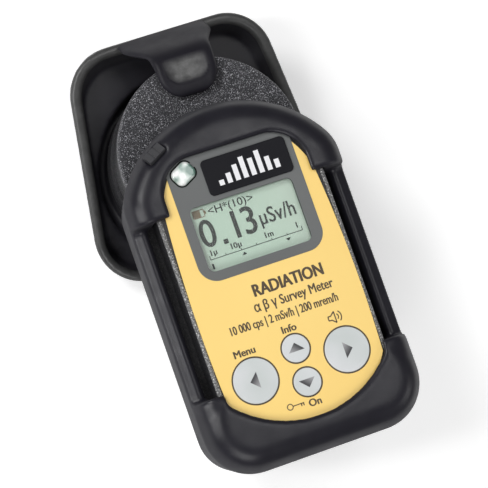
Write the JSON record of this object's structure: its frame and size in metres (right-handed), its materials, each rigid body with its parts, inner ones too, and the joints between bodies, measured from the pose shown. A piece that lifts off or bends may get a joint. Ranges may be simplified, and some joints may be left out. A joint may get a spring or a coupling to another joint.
{
  "type": "geiger counter",
  "caption": "Hand-held radiation survey meter in a rubber sleeve, with a keypad, display, round pancake detector head and a pull-off filter cap.",
  "frame": {"origin": "bottom centre of the whole object's box, on the plane of the filter cap's flat back", "axes": "+Z out of the keypad face, +Y towards the detector head, +X to the right of a user reading the display"},
  "size_m": [0.0762, 0.1373, 0.0574],
  "materials": {
    "sleeve_rubber": "satin moulded rubber",
    "cap_rubber": "smooth moulded rubber",
    "case_plastic": "fine spark texture",
    "head_plastic": "coarse sparkling grain",
    "label_film": "printed satin film",
    "bezel_film": "printed satin film",
    "badge_black": "gloss",
    "clear_window": "polished",
    "lamp_lens": "frosted",
    "lcd_glass": "reflective display",
    "key_silver": "satin silver",
    "circuit_board": "solder mask",
    "steel": "zinc plated",
    "aluminium": "turned",
    "cell_wrap": "printed sleeve",
    "component_black": "moulded",
    "seal_rubber": "moulded",
    "mica": "thin film",
    "led_body": "clear",
    "data_label": "printed film"
  },
  "bodies": {
    "instrument": {"rubber_sleeve": "sleeve_rubber", "sleeve_plug": "sleeve_rubber", "front_shell": "case_plastic", "rear_shell": "case_plastic", "head_base": "case_plastic", "head_lid": "head_plastic", "head_housing": "case_plastic", "front_overlay": "label_film", "display_bezel": "bezel_film", "name_badge": "badge_black", "display_window": "clear_window", "alarm_light": "lamp_lens", "lcd_module": "lcd_glass", "main_board": "circuit_board", "high_voltage_board": "circuit_board", "case_screws": "steel", "head_screws": "steel", "door_hinge_pin": "steel", "battery_contacts": "steel", "detector_tube": "steel", "detector_anode": "steel", "detector_grille": "steel", "battery_cells": "cell_wrap", "buzzer": "component_black", "vibration_motor": "component_black", "battery_holder": "component_black", "head_connector": "component_black", "tube_clamp": "component_black", "shell_gasket": "seal_rubber", "head_gasket": "seal_rubber", "dome_switches": "seal_rubber", "detector_window": "mica", "alarm_leds": "led_body", "rear_label": "data_label"},
    "filter_cap_body": {"filter_cap": "cap_rubber", "filter_disc": "aluminium", "filter_retainer": "steel"},
    "tongue": {"cap_tongue": "cap_rubber"},
    "door": {"battery_door": "case_plastic", "door_screw": "steel"},
    "left_key": {"key_left": "key_silver"},
    "right_key": {"key_right": "key_silver"},
    "up_key": {"key_up": "key_silver"},
    "down_key": {"key_down": "key_silver"}
  },
  "joints": [
    {"name": "left_key_press", "type": "slide", "parent": "instrument", "child": "left_key", "axis": [0, 0, -1], "range_m": [0, 0.0004], "stiffness_N_per_m": 300},
    {"name": "right_key_press", "type": "slide", "parent": "instrument", "child": "right_key", "axis": [0, 0, -1], "range_m": [0, 0.0004], "stiffness_N_per_m": 300},
    {"name": "up_key_press", "type": "slide", "parent": "instrument", "child": "up_key", "axis": [0, 0, -1], "range_m": [0, 0.0004], "stiffness_N_per_m": 300},
    {"name": "down_key_press", "type": "slide", "parent": "instrument", "child": "down_key", "axis": [0, 0, -1], "range_m": [0, 0.0004], "stiffness_N_per_m": 300},
    {"name": "cap_pull", "type": "slide", "parent": "instrument", "child": "filter_cap_body", "axis": [0, 0, -1], "range_m": [0, 0.03]},
    {"name": "tongue_peel", "type": "hinge", "parent": "filter_cap_body", "child": "tongue", "pos_m": [0, 0.0669, 0.02732], "axis": [-1, 0, 0], "range_deg": [0, 121]},
    {"name": "door_open", "type": "hinge", "parent": "instrument", "child": "door", "pos_m": [0, -0.0592, 0.0255], "axis": [-1, 0, 0], "range_deg": [0, 85]}
  ],
  "couplings": [
    {"joint": "tongue_peel", "follows": "cap_pull", "rad_per_m": 70}
  ]
}
